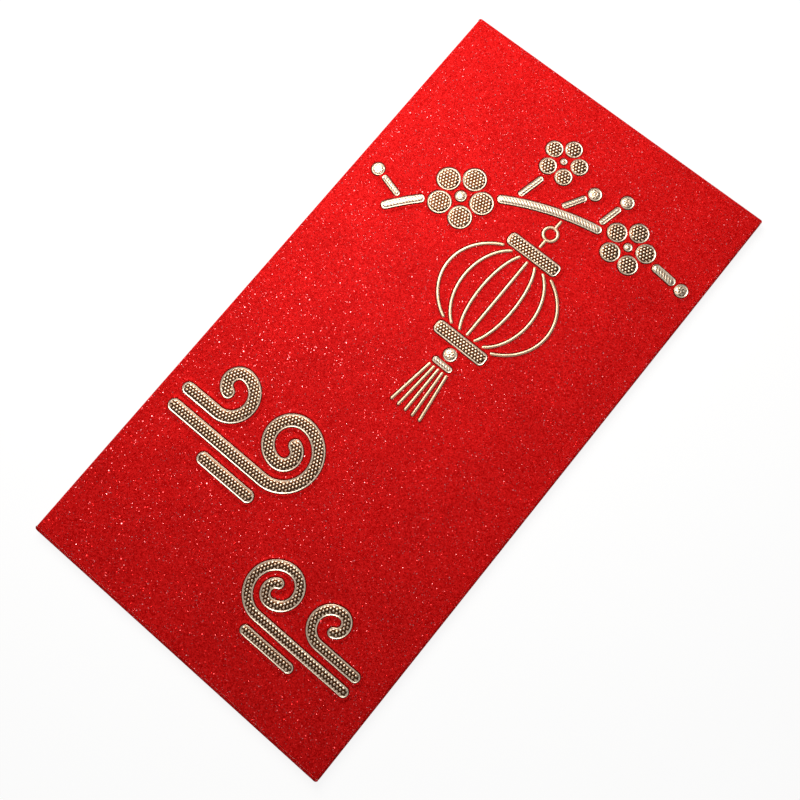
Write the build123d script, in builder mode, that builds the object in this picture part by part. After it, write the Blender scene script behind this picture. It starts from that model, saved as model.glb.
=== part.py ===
from build123d import *

import math
import os

# Red gift-money envelope, lying on its back with the closed flap underneath.
# One die-cut card sheet is folded at four creases. Two glue lines close its sides, and hot-stamped
# gold foil stands in relief on the front: a plum branch, a lantern that hangs from it, and two clouds.
# Millimetres, +Z out of the front face, +Y towards the flap, origin under the middle of the envelope.

# Card sheet
envelope_width = 88.0
envelope_height = 169.0
card = 0.4
side_fold_inner = 0.3
glue_film = 0.1
flap_clearance = 0.3
fold_end_relief = 0.3

# Side tabs, turned in behind the front and glued to the back
tab_width = 13.0
tab_end_taper = 9.0
tab_relief = 1.5
glue_width = 6.0
glue_end_margin = 8.0

# Back panel, which comes up from the bottom fold
back_inset = 0.8
mouth_inset = 1.0
throat_width = 46.0
throat_depth = 6.0

# Closure flap
flap_inset = 0.9
flap_depth = 26.0
flap_side_taper = 6.0
flap_corner_radius = 8.0

# Foil relief
foil_height = 0.3
foil_draft = 25.0
foil_gap = 0.5
line_width = 0.75

# Plum branch: every stroke follows one large circle, and its places are angles on that circle
branch_centre_x = 27.0
branch_centre_drop = 97.0
branch_radius = 72.0
branch_width = 2.2
branch_start_angle = 143.0
branch_end_angle = 83.0
twig_width = 1.5
bud_radius = 1.7
bud_twig_length = 5.0
bud_twig_angles = [139.5, 110.0, 101.0]
bud_twig_headings = [165.0, 60.0, 77.0]
petal_count = 5
petal_gap = 0.4
centre_gap = 1.0
wide_blossom = 17.0
wide_blossom_angle = 128.0
middle_blossom = 14.0
middle_blossom_angle = 93.5
narrow_blossom = 12.5
narrow_twig_angle = 118.0
narrow_twig_heading = 77.0
narrow_twig_length = 6.0

# Lantern
lantern_angle = 107.0
lantern_width = 31.0
lantern_height = 24.0
lantern_rib_count = 3
cap_length = 15.0
cap_height = 3.4
cap_corner_radius = 1.2
cord_length = 9.0
cord_ring_radius = 1.8

# Tassel under the lantern
tassel_bead_radius = 1.7
tassel_binding_length = 5.6
tassel_binding_height = 1.6
fringe_count = 5
fringe_pitch = 1.25
fringe_fan = 4.0
fringe_length = 13.0

# Clouds: the large one's tail starts near the left fold, the small one's near the right fold
inner_sweep = 160.0
large_cloud_margin = 4.0
large_cloud_rise = 50.5
large_cloud_stroke = 3.2
large_cloud_gap = 2.0
large_cloud_curl = 8.2
large_cloud_tail = 28.0
small_cloud_margin = 6.0
small_cloud_rise = 24.5
small_cloud_stroke = 2.5
small_cloud_gap = 1.6
small_cloud_curl = 6.5
small_cloud_tail = 26.0

# The stack of layers, from the floor up
back_under = card + flap_clearance
back_top = back_under + card
tab_under = back_top + glue_film
tab_top = tab_under + card
front_under = tab_top + 2 * side_fold_inner
front_top = front_under + card

# Each fold's radii follow from the two layers that it joins
side_fold_outer = side_fold_inner + card
bottom_fold_inner = (front_under - back_top) / 2
bottom_fold_outer = bottom_fold_inner + card
flap_fold_inner = (front_under - card) / 2
flap_fold_outer = flap_fold_inner + card

# Fold lines, where the flat layers end and the bends begin
side_x = envelope_width / 2 - side_fold_outer
bottom_y = bottom_fold_outer - envelope_height / 2
hinge_y = envelope_height / 2 - flap_fold_outer
mouth_y = hinge_y - mouth_inset
side_fold_low = bottom_y + fold_end_relief
side_fold_high = hinge_y - fold_end_relief
back_half_width = envelope_width / 2 - back_inset
flap_half_width = envelope_width / 2 - flap_inset

# The branch keeps its distance from the flap's fold line, and the clouds theirs from the bottom one.
# The large cloud ends short of the tassel's column, so that the two never meet.
branch_centre_y = hinge_y - branch_centre_drop
large_cloud_x = large_cloud_margin + large_cloud_stroke / 2 + large_cloud_tail - side_x
large_cloud_y = bottom_y + large_cloud_rise
small_cloud_x = side_x - small_cloud_margin - small_cloud_stroke / 2 - small_cloud_tail
small_cloud_y = bottom_y + small_cloud_rise

os.makedirs("parts", exist_ok=True)


def save(piece, name):
    """Labels a finished sub-part and writes its STEP file."""
    piece.part.label = name
    export_step(piece.part, f"parts/{name}.step")


# The creases


def folded_strip(centre, outward, length, inner, outer):
    """Half-round bend of card along a fold line, bulging outward."""
    section = Plane(
        origin=centre, x_dir=outward, z_dir=Vector(outward).cross(Vector(0, 0, 1))
    )
    with BuildPart() as bend:
        with BuildSketch(section):
            Circle(outer)
            Circle(inner, mode=Mode.SUBTRACT)
            Rectangle(
                2 * outer,
                2 * outer,
                align=(Align.MAX, Align.CENTER),
                mode=Mode.SUBTRACT,
            )
        extrude(amount=length / 2, both=True)
    return bend


side_fold_middle = (side_fold_low + side_fold_high) / 2
side_fold_length = side_fold_high - side_fold_low
for side, name in ((-1, "left_side_fold"), (1, "right_side_fold")):
    side_fold = folded_strip(
        (side * side_x, side_fold_middle, front_top - side_fold_outer),
        (side, 0, 0),
        side_fold_length,
        side_fold_inner,
        side_fold_outer,
    )
    save(side_fold, name)

bottom_fold = folded_strip(
    (0, bottom_y, front_top - bottom_fold_outer),
    (0, -1, 0),
    2 * back_half_width,
    bottom_fold_inner,
    bottom_fold_outer,
)
save(bottom_fold, "bottom_fold")

flap_fold = folded_strip(
    (0, hinge_y, front_top - flap_fold_outer),
    (0, 1, 0),
    2 * flap_half_width,
    flap_fold_inner,
    flap_fold_outer,
)
save(flap_fold, "flap_fold")

# The flat layers

with BuildPart() as front_panel:
    with BuildSketch(Plane.XY.offset(front_under)):
        with Locations((0, (bottom_y + hinge_y) / 2)):
            Rectangle(2 * side_x, hinge_y - bottom_y)
    extrude(amount=card)
save(front_panel, "front_panel")

with BuildPart() as back_panel:
    with BuildSketch(Plane.XY.offset(back_under)):
        with Locations((0, (bottom_y + mouth_y) / 2)):
            Rectangle(2 * back_half_width, mouth_y - bottom_y)
        with BuildLine():
            ThreePointArc(
                (-throat_width / 2, mouth_y),
                (0, mouth_y - throat_depth),
                (throat_width / 2, mouth_y),
            )
            Line((throat_width / 2, mouth_y), (-throat_width / 2, mouth_y))
        make_face(mode=Mode.SUBTRACT)
    extrude(amount=card)
save(back_panel, "back_panel")

tab_low = side_fold_low + tab_relief
tab_high = side_fold_high - tab_relief
tab_inner_x = side_x - tab_width
for side, name in ((-1, "left_glue_tab"), (1, "right_glue_tab")):
    with BuildPart() as glue_tab:
        with BuildSketch(Plane.XY.offset(tab_under)):
            with BuildLine():
                Polyline(
                    (side * side_x, tab_low),
                    (side * side_x, tab_high),
                    (side * tab_inner_x, tab_high - tab_end_taper),
                    (side * tab_inner_x, tab_low + tab_end_taper),
                    close=True,
                )
            make_face()
        extrude(amount=card)
    save(glue_tab, name)

glue_length = tab_high - tab_low - 2 * glue_end_margin
for side, name in ((-1, "left_glue_line"), (1, "right_glue_line")):
    with BuildPart() as glue_line:
        with BuildSketch(Plane.XY.offset(back_top)):
            with Locations((side * (side_x - tab_width / 2), (tab_low + tab_high) / 2)):
                SlotOverall(glue_length, glue_width, rotation=90)
        extrude(amount=glue_film)
    save(glue_line, name)

flap_tip_y = hinge_y - flap_depth
flap_tip_half_width = flap_half_width - flap_side_taper
with BuildPart() as closure_flap:
    with BuildSketch() as flap_outline:
        with BuildLine():
            Polyline(
                (-flap_half_width, hinge_y),
                (flap_half_width, hinge_y),
                (flap_tip_half_width, flap_tip_y),
                (-flap_tip_half_width, flap_tip_y),
                close=True,
            )
        make_face()
        fillet(flap_outline.vertices().group_by(Axis.Y)[0], flap_corner_radius)
    extrude(amount=card)
save(closure_flap, "closure_flap")

# Gold foil on the front

foil_plane = Plane.XY.offset(front_top)


def stamp(outline):
    """Raises a foil outline off the card, with the sloped shoulder that an embossing die leaves."""
    with BuildPart() as foil:
        add(outline)
        extrude(amount=foil_height, taper=foil_draft)
    return foil


def on_branch(angle):
    """Point of the branch's circle at that angle, in degrees."""
    turned = math.radians(angle)
    return (
        branch_centre_x + branch_radius * math.cos(turned),
        branch_centre_y + branch_radius * math.sin(turned),
    )


def branch_stroke(first, last):
    """Centreline of the branch between two angles."""
    return CenterArc(
        (branch_centre_x, branch_centre_y), branch_radius, first, last - first
    )


def twig_stroke(angle, heading, length):
    """Centreline of a twig that leaves the branch at an angle, just clear of its edge."""
    slant = math.radians(heading - (angle - 90))
    root_gap = (branch_width / 2 + foil_gap + twig_width / 2) / math.sin(slant)
    root = PolarLine(on_branch(angle), root_gap, heading) @ 1
    return PolarLine(root, length, heading)


def beyond(stroke, width, radius):
    """Middle of a round that the end of a stroke points at, just clear of it."""
    reach = stroke @ 1 + (stroke % 1) * (width / 2 + foil_gap + radius)
    return (reach.X, reach.Y)


def blossom_angle(across):
    """Angle along the branch from the middle of a blossom to the stroke next to it."""
    return math.degrees((across / 2 + foil_gap + branch_width / 2) / branch_radius)


# Branch and twigs, broken where a blossom sits, with a bud at the tip and on each short twig
branch_strokes = [
    branch_stroke(branch_start_angle, wide_blossom_angle + blossom_angle(wide_blossom)),
    branch_stroke(
        wide_blossom_angle - blossom_angle(wide_blossom),
        middle_blossom_angle + blossom_angle(middle_blossom),
    ),
    branch_stroke(
        middle_blossom_angle - blossom_angle(middle_blossom), branch_end_angle
    ),
]
narrow_twig = twig_stroke(narrow_twig_angle, narrow_twig_heading, narrow_twig_length)
twig_strokes = [
    twig_stroke(angle, heading, bud_twig_length)
    for angle, heading in zip(bud_twig_angles, bud_twig_headings)
]
bud_places = [beyond(twig, twig_width, bud_radius) for twig in twig_strokes]
bud_places.append(beyond(branch_strokes[-1], branch_width, bud_radius))

with BuildSketch(foil_plane) as branch_outline:
    for stroke in branch_strokes:
        SlotArc(stroke, branch_width)
    for stroke in [narrow_twig, *twig_strokes]:
        SlotArc(stroke, twig_width)
save(stamp(branch_outline.sketch), "foil_branch")

with BuildSketch(foil_plane) as bud_outline:
    with Locations(*bud_places):
        Circle(bud_radius)
save(stamp(bud_outline.sketch), "foil_buds")

# Blossoms: five round petals about a dot
blossoms = [
    (on_branch(wide_blossom_angle), wide_blossom),
    (on_branch(middle_blossom_angle), middle_blossom),
    (beyond(narrow_twig, twig_width, narrow_blossom / 2), narrow_blossom),
]
petal_share = math.sin(math.pi / petal_count)  # of the ring's radius, where petals would touch
with BuildSketch(foil_plane) as petal_outline:
    for place, across in blossoms:
        petal_ring = (across + petal_gap) / (2 * (1 + petal_share))
        with Locations(place):
            with PolarLocations(petal_ring, petal_count, start_angle=90):
                Circle(across / 2 - petal_ring)
save(stamp(petal_outline.sketch), "foil_petals")

with BuildSketch(foil_plane) as centre_outline:
    for place, across in blossoms:
        petal_ring = (across + petal_gap) / (2 * (1 + petal_share))
        with Locations(place):
            Circle(2 * petal_ring - across / 2 - centre_gap)
save(stamp(centre_outline.sketch), "foil_flower_centres")

# Lantern, hung from the branch on a cord with a ring in it
hook_x, hook_y = on_branch(lantern_angle)
cord_top = hook_y - branch_width / 2 - foil_gap
cord_foot = cord_top - cord_length
top_cap_y = cord_foot - foil_gap - cap_height / 2
lantern_y = top_cap_y - cap_height / 2 - foil_gap - lantern_height / 2
bottom_cap_y = lantern_y - lantern_height / 2 - foil_gap - cap_height / 2

with BuildSketch(foil_plane) as cord_outline:
    with Locations((hook_x, (cord_top + cord_foot) / 2)):
        Rectangle(line_width, cord_length)
        Circle(cord_ring_radius + line_width / 2)
        Circle(cord_ring_radius - line_width / 2, mode=Mode.SUBTRACT)
save(stamp(cord_outline.sketch), "foil_hanging_cord")

for centre_y, name in (
    (top_cap_y, "foil_lantern_top_cap"),
    (bottom_cap_y, "foil_lantern_bottom_cap"),
):
    with BuildSketch(foil_plane) as cap_outline:
        with Locations((hook_x, centre_y)):
            RectangleRounded(cap_length, cap_height, cap_corner_radius)
    save(stamp(cap_outline.sketch), name)

# The ribs are ellipses that all reach past the caps' inner edges, cut off level with them
rib_half_height = lantern_height / 2 + cap_height / 2
with BuildSketch(foil_plane) as rib_outline:
    with Locations((hook_x, lantern_y)):
        Rectangle(line_width, 2 * rib_half_height)
    for rib in range(1, lantern_rib_count + 1):
        rib_half_width = lantern_width / 2 * rib / lantern_rib_count
        with BuildSketch(foil_plane, mode=Mode.PRIVATE) as rib_ring:
            with Locations((hook_x, lantern_y)):
                Ellipse(rib_half_width, rib_half_height)
                Ellipse(
                    rib_half_width - line_width,
                    rib_half_height - line_width,
                    mode=Mode.SUBTRACT,
                )
        add(rib_ring.sketch_local)
    with Locations((hook_x, lantern_y)):
        Rectangle(2 * lantern_width, lantern_height, mode=Mode.INTERSECT)
save(stamp(rib_outline.sketch), "foil_lantern_ribs")

# Tassel: bead, binding and fringe
bead_y = bottom_cap_y - cap_height / 2 - foil_gap - tassel_bead_radius
binding_y = bead_y - tassel_bead_radius - foil_gap - tassel_binding_height / 2
fringe_top = binding_y - tassel_binding_height / 2 - foil_gap
with BuildSketch(foil_plane) as bead_outline:
    with Locations((hook_x, bead_y)):
        Circle(tassel_bead_radius)
save(stamp(bead_outline.sketch), "foil_tassel_bead")

with BuildSketch(foil_plane) as binding_outline:
    with Locations((hook_x, binding_y)):
        SlotOverall(tassel_binding_length, tassel_binding_height)
save(stamp(binding_outline.sketch), "foil_tassel_binding")

with BuildSketch(foil_plane) as fringe_outline:
    for strand in range(fringe_count):
        from_middle = strand - (fringe_count - 1) / 2
        with Locations((hook_x + from_middle * fringe_pitch, fringe_top)):
            Rectangle(
                line_width,
                fringe_length,
                rotation=from_middle * fringe_fan,
                align=(Align.CENTER, Align.MAX),
            )
save(stamp(fringe_outline.sketch), "foil_tassel_fringe")


# Clouds: each is two curls over a long tail, with a loose streak below


def walk(start, run, turns, facing):
    """Centreline that runs straight along X, then turns upward through arcs of (radius, degrees)."""
    with BuildLine() as path:
        edge = Line((facing * start[0], start[1]), (facing * (start[0] + run), start[1]))
        for radius, degrees in turns:
            edge = JernArc(edge @ 1, edge % 1, radius, facing * degrees)
    return path.wire()


def cloud_strokes(stroke, gap, curl, tail, facing):
    """Centrelines of a cloud about the middle of its large curl; facing 1 curls at its +X end."""
    pitch = stroke + gap
    middle_curl = curl - pitch / 2
    inner_curl = middle_curl - pitch / 2
    curl_spacing = curl + pitch + middle_curl
    return [
        walk(
            (-tail, -curl),
            tail,
            [(curl, 180), (middle_curl, 180), (inner_curl, inner_sweep)],
            facing,
        ),
        walk(
            (-tail, pitch - curl),
            tail - curl_spacing,
            [(middle_curl, 180), (inner_curl, inner_sweep)],
            facing,
        ),
        walk((-tail / 2, -curl - pitch), tail / 2, [], facing),
    ]


def stamp_cloud(name, place, stroke, strokes):
    """Writes one cloud's foil, its strokes set about a place."""
    with BuildSketch(foil_plane) as cloud_outline:
        with Locations(place):
            for centreline in strokes:
                SlotArc(centreline, stroke)
    save(stamp(cloud_outline.sketch), name)


large_cloud = cloud_strokes(
    large_cloud_stroke, large_cloud_gap, large_cloud_curl, large_cloud_tail, 1
)
stamp_cloud(
    "foil_large_cloud", (large_cloud_x, large_cloud_y), large_cloud_stroke, large_cloud
)
small_cloud = cloud_strokes(
    small_cloud_stroke, small_cloud_gap, small_cloud_curl, small_cloud_tail, -1
)
stamp_cloud(
    "foil_small_cloud", (small_cloud_x, small_cloud_y), small_cloud_stroke, small_cloud
)
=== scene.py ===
import math

import bmesh
import bpy
import numpy as np
from mathutils import Matrix, Vector


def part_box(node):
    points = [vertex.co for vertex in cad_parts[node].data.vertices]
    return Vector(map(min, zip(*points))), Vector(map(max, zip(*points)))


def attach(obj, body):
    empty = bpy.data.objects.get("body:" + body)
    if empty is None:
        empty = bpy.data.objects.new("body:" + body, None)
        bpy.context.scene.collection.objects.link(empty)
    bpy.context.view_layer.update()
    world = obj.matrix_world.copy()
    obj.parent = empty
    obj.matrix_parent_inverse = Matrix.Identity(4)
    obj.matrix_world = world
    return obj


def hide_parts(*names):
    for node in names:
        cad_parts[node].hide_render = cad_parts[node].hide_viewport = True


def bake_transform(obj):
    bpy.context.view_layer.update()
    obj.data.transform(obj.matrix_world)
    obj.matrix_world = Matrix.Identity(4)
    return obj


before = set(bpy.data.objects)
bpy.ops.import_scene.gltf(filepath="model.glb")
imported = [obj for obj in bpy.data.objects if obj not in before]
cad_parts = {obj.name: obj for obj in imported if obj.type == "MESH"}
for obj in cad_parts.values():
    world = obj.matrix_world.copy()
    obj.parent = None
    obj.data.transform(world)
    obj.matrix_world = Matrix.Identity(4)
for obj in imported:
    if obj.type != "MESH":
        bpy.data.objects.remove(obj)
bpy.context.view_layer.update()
mm = 0.001

# Front panel
# The face of the one card sheet, 0.4 mm thick: a red glitter coat outside, white uncoated board
# inside. It is die-cut with the rest of the sheet, and folding leaves it very slightly crowned.

front_low, front_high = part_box("front_panel")
front_top = front_high[2]
front_width, front_length = front_high[0] - front_low[0], front_high[1] - front_low[1]
front_middle = (front_low[1] + front_high[1]) / 2
front_crown = 0.25 * mm
front_ripple = 0.03 * mm
ripple_length = 37.0 * mm
ripple_slant = 0.4
panel_step = 2.0 * mm
edge_round = 0.05 * mm
card_crease = 35
merge_distance = 0.0005 * mm

coat_grain = 0.26 * mm
coat_dark, coat_bright = (0.52, 0.001, 0.001), (1.0, 0.016, 0.016)
coat_lean = 0.08
coat_patch = 14.0 * mm, 2.0
coat_shade = 0.93, 1.05
# Painted shade: how dark the coat gets in the groove beside the foil.
coat_groove_shade = 0.15
coat_roughness, coat_metal, coat_gloss = 0.50, 0.05, 0.015
noise_span = 0.3, 0.7

# Spacing, share of the places left empty, least and greatest radius.
small_flakes = 0.36 * mm, 0.20, 0.04 * mm, 0.08 * mm
large_flakes = 0.60 * mm, 0.50, 0.08 * mm, 0.15 * mm
flake_deep, flake_pale = (1.0, 0.03, 0.03), (1.0, 0.38, 0.40)
flake_paling = 0.45
flake_tilt = 1.2
flake_roughness, flake_metal = 0.15, 0.80

board_dark, board_light = (0.74, 0.71, 0.66), (0.84, 0.82, 0.78)
board_patch = 3.0 * mm, 5.0
board_roughness = 0.85
fibre_width, fibre_length, fibre_detail = 0.12 * mm, 0.7 * mm, 3.0
fibre_bump = 0.4, 0.03 * mm


def sheet_rise(x, y):
    """Height of the front's card over its flat plane: a cosine crown that is zero at the fold
    lines, and a weak ripple that slants across it."""
    across = np.cos(np.pi / 2 * np.clip(x / front_high[0], -1, 1))
    along = np.cos(np.pi * np.clip((y - front_middle) / front_length, -0.5, 0.5))
    ripple = np.sin(2 * np.pi * (y + ripple_slant * x) / ripple_length)
    return across * along * (front_crown + front_ripple * ripple)


def fill(tree, node, values):
    """Inputs of a shader node. A value that is a socket is linked, and any other is set."""
    for socket, value in values.items():
        if isinstance(value, bpy.types.NodeSocket):
            tree.links.new(value, node.inputs[socket])
        else:
            node.inputs[socket].default_value = value


def add_node(tree, kind, values={}, **settings):
    """New shader node with its settings and inputs."""
    node = tree.nodes.new(kind)
    for setting, choice in settings.items():
        setattr(node, setting, choice)
    fill(tree, node, values)
    return node


def start_finish(name):
    """New material: its node tree, its shader and the piece's own coordinates."""
    material = bpy.data.materials.new(name)
    material.use_nodes = True
    tree = material.node_tree
    place = add_node(tree, "ShaderNodeTexCoord").outputs["Object"]
    return material, tree, tree.nodes["Principled BSDF"], place


def number(tree, operation, first, second=0.0):
    """Result of one sum on two numbers, or on the first alone."""
    node = add_node(tree, "ShaderNodeMath", {0: first, 1: second}, operation=operation)
    return node.outputs["Value"]


def ramped(tree, value, low, high, start, end):
    """Number that goes from start to end while a value goes from low to high."""
    limits = {"Value": value, "From Min": low, "From Max": high, "To Min": start, "To Max": end}
    return add_node(tree, "ShaderNodeMapRange", limits).outputs["Result"]


def noise(tree, place, length, detail):
    """Cloudy noise from 0 to 1, with patches of a length and finer ones in them by the detail."""
    clouds = {"Vector": place, "Scale": 1 / length, "Detail": detail}
    return add_node(tree, "ShaderNodeTexNoise", clouds).outputs["Fac"]


def cells(tree, place, spacing):
    """Scattered cells: the distance from the middle of each, and a random colour for each."""
    return add_node(tree, "ShaderNodeTexVoronoi", {"Vector": place, "Scale": 1 / spacing}).outputs


def separated(tree, colour):
    """Red, green and blue of a colour as numbers."""
    return add_node(tree, "ShaderNodeSeparateColor", {"Color": colour}).outputs


def shade_and_pattern_value(tree):
    """Die pattern height on foil, and painted groove shade on card shoulders, as the mesh keeps it.
    """
    return add_node(tree, "ShaderNodeAttribute", attribute_name="raised").outputs["Fac"]


def tone_ramp(tree, factor, stops):
    """Colour ramp through (position, colour) stops."""
    ramp = add_node(tree, "ShaderNodeValToRGB", {"Fac": factor})
    for count, (position, colour) in enumerate(stops):
        if count < 2:
            stop = ramp.color_ramp.elements[count]
            stop.position = position
        else:
            stop = ramp.color_ramp.elements.new(position)
        stop.color = (*colour, 1)
    return ramp.outputs["Color"]


def mixed(tree, share, first, second):
    """Colour between two colours, by the share that the second has."""
    blend = {"Factor": share, "A": first, "B": second}
    return add_node(tree, "ShaderNodeMix", blend, data_type="RGBA").outputs["Result"]


def vector(tree, operation, values):
    """Result of one sum on vectors or colours."""
    return add_node(tree, "ShaderNodeVectorMath", values, operation=operation).outputs["Vector"]


def bumped(tree, height, strength, depth):
    """Normal of a surface that a height from 0 to 1 raises by up to a depth."""
    relief = {"Height": height, "Strength": strength, "Distance": depth}
    return add_node(tree, "ShaderNodeBump", relief).outputs["Normal"]


def flake_layer(tree, place, spacing, rarity, least, most):
    """Round flakes scattered through the coat, one at most in each cell of a given spacing. Gives
    where they are, and a random tone and a random colour for each."""
    cell = cells(tree, place, spacing)
    scatter = add_node(tree, "ShaderNodeTexWhiteNoise", {"Vector": cell["Color"]}).outputs["Color"]
    chance = separated(tree, scatter)
    radius = ramped(tree, chance["Green"], 0.0, 1.0, least / spacing, most / spacing)
    inside = number(tree, "LESS_THAN", cell["Distance"], radius)
    chosen = number(tree, "GREATER_THAN", chance["Red"], rarity)
    return number(tree, "MULTIPLY", inside, chosen), chance["Blue"], scatter


def leaning(tree, normal, random_colour, amount):
    """Normal turned by a random colour less mid grey, times an amount."""
    lean = vector(tree, "SUBTRACT", {0: random_colour, 1: (0.5, 0.5, 0.5)})
    turn = vector(tree, "SCALE", {0: lean, "Scale": amount})
    return vector(tree, "ADD", {0: normal, 1: turn})


def glitter_finish(name):
    """Red glitter coat: fine flakes that differ in tone and lean, with two layers of deep to light
    red foil flakes in it that lean at random and mirror the light. Painted shade darkens the coat
    in the groove beside the foil, where a piece's value says so."""
    material, tree, shader, place = start_finish(name)
    grain = cells(tree, place, coat_grain)["Color"]
    coat = tone_ramp(tree, separated(tree, grain)["Red"], [(0.0, coat_dark), (1.0, coat_bright)])
    patches = noise(tree, place, *coat_patch)
    shade = ramped(tree, patches, *noise_span, *coat_shade)
    # Painted shade in the groove beside the foil, from the shoulder's value.
    groove_shade = ramped(tree, shade_and_pattern_value(tree), 0.0, 1.0, 1.0, coat_groove_shade)
    colour = vector(tree, "SCALE", {0: coat, "Scale": number(tree, "MULTIPLY", shade, groove_shade)})
    normal = add_node(tree, "ShaderNodeNewGeometry").outputs["Normal"]
    normal = leaning(tree, normal, grain, coat_lean)
    flakes = 0.0
    for layer in (small_flakes, large_flakes):
        shown, random_tone, random_lean = flake_layer(tree, place, *layer)
        flake = tone_ramp(tree, random_tone, [(flake_paling, flake_deep), (1.0, flake_pale)])
        colour = mixed(tree, shown, colour, flake)
        normal = leaning(tree, normal, random_lean, number(tree, "MULTIPLY", shown, flake_tilt))
        flakes = number(tree, "MAXIMUM", flakes, shown)
    fill(tree, shader, {
        "Base Color": colour,
        "Normal": vector(tree, "NORMALIZE", {0: normal}),
        "Roughness": ramped(tree, flakes, 0.0, 1.0, coat_roughness, flake_roughness),
        "Metallic": ramped(tree, flakes, 0.0, 1.0, coat_metal, flake_metal),
        "Specular IOR Level": coat_gloss,
    })
    return material


def board_finish(name):
    """Uncoated white board: a warm white with faint clouds, and fibres from stretched noise."""
    material, tree, shader, place = start_finish(name)
    pulp = noise(tree, place, *board_patch)
    fibre_scale = (1 / fibre_width, 1 / fibre_length, 1 / fibre_width)
    stretched = add_node(tree, "ShaderNodeMapping", {"Vector": place, "Scale": fibre_scale})
    fibre = noise(tree, stretched.outputs["Vector"], 1.0, fibre_detail)
    fill(tree, shader, {
        "Base Color": tone_ramp(tree, pulp, zip(noise_span, (board_dark, board_light))),
        "Normal": bumped(tree, fibre, *fibre_bump),
        "Roughness": board_roughness,
    })
    return material


glitter = glitter_finish("red_glitter_coat")
board = board_finish("white_board")


def make_piece(name, points, face_sets, finishes, crease):
    """Mesh piece from points and sets of faces. A face set is an array with one row of corners for
    each face, and the number of its finish. A fourth number of a point, where it has one, is kept
    as the die pattern's height on foil, and as painted groove shade on a card shoulder. Doubles at
    poles are merged, faces turned outwards, and edges that turn by more than the crease angle kept
    sharp."""
    mesh = bpy.data.meshes.new(name)
    corners = np.concatenate([faces.ravel() for faces, finish in face_sets])
    sizes = np.concatenate([np.full(len(faces), faces.shape[1]) for faces, finish in face_sets])
    numbers = np.concatenate([np.full(len(faces), finish) for faces, finish in face_sets])
    mesh.vertices.add(len(points))
    mesh.vertices.foreach_set("co", np.ascontiguousarray(points[:, :3], np.float32).ravel())
    mesh.loops.add(len(corners))
    mesh.loops.foreach_set("vertex_index", corners.astype(np.int32))
    mesh.polygons.add(len(sizes))
    mesh.polygons.foreach_set("loop_start", (np.cumsum(sizes) - sizes).astype(np.int32))
    mesh.polygons.foreach_set("material_index", numbers.astype(np.int32))
    mesh.update(calc_edges=True)
    if points.shape[1] > 3:
        raised = mesh.attributes.new("raised", "FLOAT", "POINT")
        raised.data.foreach_set("value", np.ascontiguousarray(points[:, 3], np.float32))
    for finish in finishes:
        mesh.materials.append(finish)
    shape = bmesh.new()
    shape.from_mesh(mesh)
    bmesh.ops.remove_doubles(shape, verts=shape.verts, dist=merge_distance)
    bmesh.ops.recalc_face_normals(shape, faces=shape.faces)
    shape.to_mesh(mesh)
    shape.free()
    mesh.polygons.foreach_set("use_smooth", np.ones(len(mesh.polygons), bool))
    mesh.set_sharp_from_angle(angle=math.radians(crease))
    piece = bpy.data.objects.new(name, mesh)
    bpy.context.scene.collection.objects.link(piece)
    return piece


def grid_faces(rows, columns, wrap_rows=False, wrap_columns=False):
    """Quads of a grid, row after row. A wrap joins the last row or column to the first."""
    index = np.arange(rows * columns).reshape(rows, columns)
    if wrap_columns:
        index = np.concatenate([index, index[:, :1]], axis=1)
    if wrap_rows:
        index = np.concatenate([index, index[:1]], axis=0)
    corners = [index[:-1, :-1], index[:-1, 1:], index[1:, 1:], index[1:, :-1]]
    return np.stack(corners, axis=-1).reshape(-1, 4)


def card_plate(name, plan, coated, plain, lift=0.0):
    """Closed card plate over a plan grid. The coated side is the grid at its height plus any lift,
    the plain side is one flat face, and between them runs the cut edge with slightly rounded
    corners."""
    rows, columns = plan.shape[:2]
    index = np.arange(rows * columns).reshape(rows, columns)
    ring = np.concatenate([index[0, :-1], index[:-1, -1], index[-1, :0:-1], index[:0:-1, 0]])
    flat = plan.reshape(-1, 2).copy()
    rim = flat[ring].copy()
    tangent = np.roll(rim, -1, axis=0) - np.roll(rim, 1, axis=0)
    tangent /= np.hypot(*tangent.T)[:, None]
    spoke = rim - rim.mean(axis=0)
    turn = np.sign(np.sum(spoke[:, 0] * tangent[:, 1] - spoke[:, 1] * tangent[:, 0]))
    drawn_in = rim + turn * edge_round * np.stack([-tangent[:, 1], tangent[:, 0]], axis=1)
    flat[ring] = drawn_in
    depth = math.copysign(edge_round, coated - plain)
    heights = coated + lift + np.zeros((rows, columns))
    face = np.concatenate([flat, heights.reshape(-1, 1)], axis=1)
    levels = [(rim, coated - depth), (rim, plain + depth), (drawn_in, plain)]
    belts = [np.concatenate([where, np.full((len(ring), 1), z)], axis=1) for where, z in levels]
    around = np.arange(len(ring))
    steps = [ring] + [len(flat) + step * len(ring) + around for step in range(len(levels))]
    joins = [
        np.stack([low, np.roll(low, -1), np.roll(high, -1), high], axis=1)
        for low, high in zip(steps, steps[1:])
    ]
    coated_sets = [(grid_faces(rows, columns), 0), (joins[0], 0)]
    plain_sets = [(joins[1], 1), (joins[2], 1), (steps[-1][None, :], 1)]
    points = np.concatenate([face, *belts])
    piece = make_piece(name, points, coated_sets + plain_sets, [glitter, board], card_crease)
    return piece


columns_x = np.linspace(front_low[0], front_high[0], round(front_width / panel_step) + 1)
rows_y = np.linspace(front_low[1], front_high[1], round(front_length / panel_step) + 1)
panel_x, panel_y = np.meshgrid(columns_x, rows_y)
front_card = card_plate(
    "front_card", np.stack([panel_x, panel_y], axis=2),
    front_high[2], front_low[2], sheet_rise(panel_x, panel_y),
)
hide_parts("front_panel")
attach(front_card, "pocket")

# Foil clouds
# Gold foil, a few micrometres thick, that a heated die stamps on the flat sheet. The die swells the
# card, so a stroke is a pillow in a thin lip, in a groove beside the card's own raised shoulder.

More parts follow.
